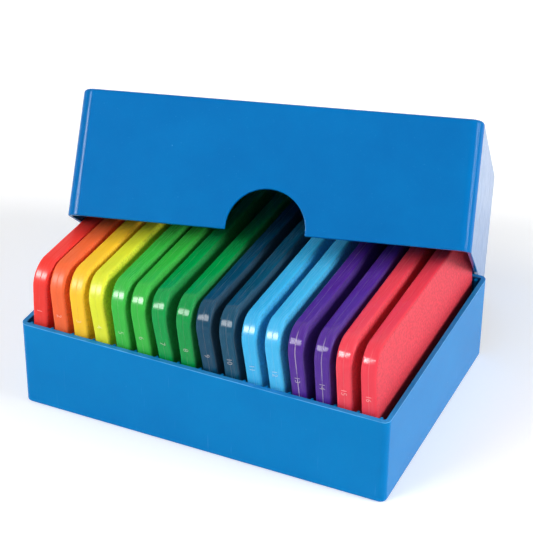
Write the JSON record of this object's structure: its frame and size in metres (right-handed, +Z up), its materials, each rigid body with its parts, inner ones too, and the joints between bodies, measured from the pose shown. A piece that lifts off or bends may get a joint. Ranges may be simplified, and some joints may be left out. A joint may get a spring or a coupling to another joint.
{
  "type": "ink pad box set",
  "caption": "Blue plastic box of colour ink pads that stand in rib slots on their long edges, with a loose telescoping cover with a thumb notch propped over them.",
  "frame": {"origin": "middle of the tray's underside", "axes": "+X along the row of pads to the right, +Y to the rear, +Z up"},
  "size_m": [0.197, 0.1989, 0.1252],
  "materials": {
    "box_blue": "satin",
    "pad_red": "gloss",
    "pad_orange": "gloss",
    "pad_amber": "gloss",
    "pad_lemon": "gloss",
    "pad_leaf_green": "gloss",
    "pad_light_green": "gloss",
    "pad_deep_green": "gloss",
    "pad_green": "gloss",
    "pad_teal": "gloss",
    "pad_sky": "gloss",
    "pad_violet": "gloss",
    "pad_crimson": "gloss",
    "ink_felt": "matte"
  },
  "bodies": {
    "tray": {"tray": "box_blue"},
    "cover": {"cover": "box_blue"},
    "pad_01": {"pad_01_case": "pad_red", "pad_01_lid": "pad_red", "pad_01_felt": "ink_felt"},
    "pad_02": {"pad_02_case": "pad_orange", "pad_02_lid": "pad_orange", "pad_02_felt": "ink_felt"},
    "pad_03": {"pad_03_case": "pad_amber", "pad_03_lid": "pad_amber", "pad_03_felt": "ink_felt"},
    "pad_04": {"pad_04_case": "pad_lemon", "pad_04_lid": "pad_lemon", "pad_04_felt": "ink_felt"},
    "pad_05": {"pad_05_case": "pad_leaf_green", "pad_05_lid": "pad_leaf_green", "pad_05_felt": "ink_felt"},
    "pad_06": {"pad_06_case": "pad_light_green", "pad_06_lid": "pad_light_green", "pad_06_felt": "ink_felt"},
    "pad_07": {"pad_07_case": "pad_deep_green", "pad_07_lid": "pad_deep_green", "pad_07_felt": "ink_felt"},
    "pad_08": {"pad_08_case": "pad_green", "pad_08_lid": "pad_green", "pad_08_felt": "ink_felt"},
    "pad_09": {"pad_09_case": "pad_teal", "pad_09_lid": "pad_teal", "pad_09_felt": "ink_felt"},
    "pad_10": {"pad_10_case": "pad_teal", "pad_10_lid": "pad_teal", "pad_10_felt": "ink_felt"},
    "pad_11": {"pad_11_case": "pad_sky", "pad_11_lid": "pad_sky", "pad_11_felt": "ink_felt"},
    "pad_12": {"pad_12_case": "pad_sky", "pad_12_lid": "pad_sky", "pad_12_felt": "ink_felt"},
    "pad_13": {"pad_13_case": "pad_violet", "pad_13_lid": "pad_violet", "pad_13_felt": "ink_felt"},
    "pad_14": {"pad_14_case": "pad_violet", "pad_14_lid": "pad_violet", "pad_14_felt": "ink_felt"},
    "pad_15": {"pad_15_case": "pad_crimson", "pad_15_lid": "pad_crimson", "pad_15_felt": "ink_felt"},
    "pad_16": {"pad_16_case": "pad_crimson", "pad_16_lid": "pad_crimson", "pad_16_felt": "ink_felt"}
  },
  "joints": [
    {"name": "cover_lift", "type": "slide", "parent": "tray", "child": "cover", "axis": [0, 0, 1], "range_m": [0, 0.11]},
    {"name": "pad_01_lift", "type": "slide", "parent": "tray", "child": "pad_01", "axis": [0.0349, 0, 0.9994], "range_m": [0, 0.0015]},
    {"name": "pad_02_lift", "type": "slide", "parent": "tray", "child": "pad_02", "axis": [-0.061, 0, 0.9981], "range_m": [0, 0.007]},
    {"name": "pad_03_lift", "type": "slide", "parent": "tray", "child": "pad_03", "axis": [-0.0785, 0, 0.9969], "range_m": [0, 0.008]},
    {"name": "pad_04_lift", "type": "slide", "parent": "tray", "child": "pad_04", "axis": [-0.1305, 0, 0.9914], "range_m": [0, 0.009]},
    {"name": "pad_05_lift", "type": "slide", "parent": "tray", "child": "pad_05", "axis": [-0.1045, 0, 0.9945], "range_m": [0, 0.009]},
    {"name": "pad_06_lift", "type": "slide", "parent": "tray", "child": "pad_06", "axis": [-0.1392, 0, 0.9903], "range_m": [0, 0.0095]},
    {"name": "pad_07_lift", "type": "slide", "parent": "tray", "child": "pad_07", "axis": [-0.165, 0, 0.9863], "range_m": [0, 0.0095]},
    {"name": "pad_08_lift", "type": "slide", "parent": "tray", "child": "pad_08", "axis": [-0.1132, 0, 0.9936], "range_m": [0, 0.01]},
    {"name": "pad_09_lift", "type": "slide", "parent": "tray", "child": "pad_09", "axis": [-0.165, 0, 0.9863], "range_m": [0, 0.0215]},
    {"name": "pad_10_lift", "type": "slide", "parent": "tray", "child": "pad_10", "axis": [-0.1478, 0, 0.989], "range_m": [0, 0.023]},
    {"name": "pad_11_lift", "type": "slide", "parent": "tray", "child": "pad_11", "axis": [-0.1478, 0, 0.989], "range_m": [0, 0.0115]},
    {"name": "pad_12_lift", "type": "slide", "parent": "tray", "child": "pad_12", "axis": [-0.1392, 0, 0.9903], "range_m": [0, 0.0105]},
    {"name": "pad_13_lift", "type": "slide", "parent": "tray", "child": "pad_13", "axis": [-0.1219, 0, 0.9925], "range_m": [0, 0.0105]},
    {"name": "pad_14_lift", "type": "slide", "parent": "tray", "child": "pad_14", "axis": [-0.0698, 0, 0.9976], "range_m": [0, 0.011]},
    {"name": "pad_15_lift", "type": "slide", "parent": "tray", "child": "pad_15", "axis": [-0.0698, 0, 0.9976], "range_m": [0, 0.011]},
    {"name": "pad_16_lift", "type": "slide", "parent": "tray", "child": "pad_16", "axis": [-0.061, 0, 0.9981], "range_m": [0, 0.011]}
  ]
}
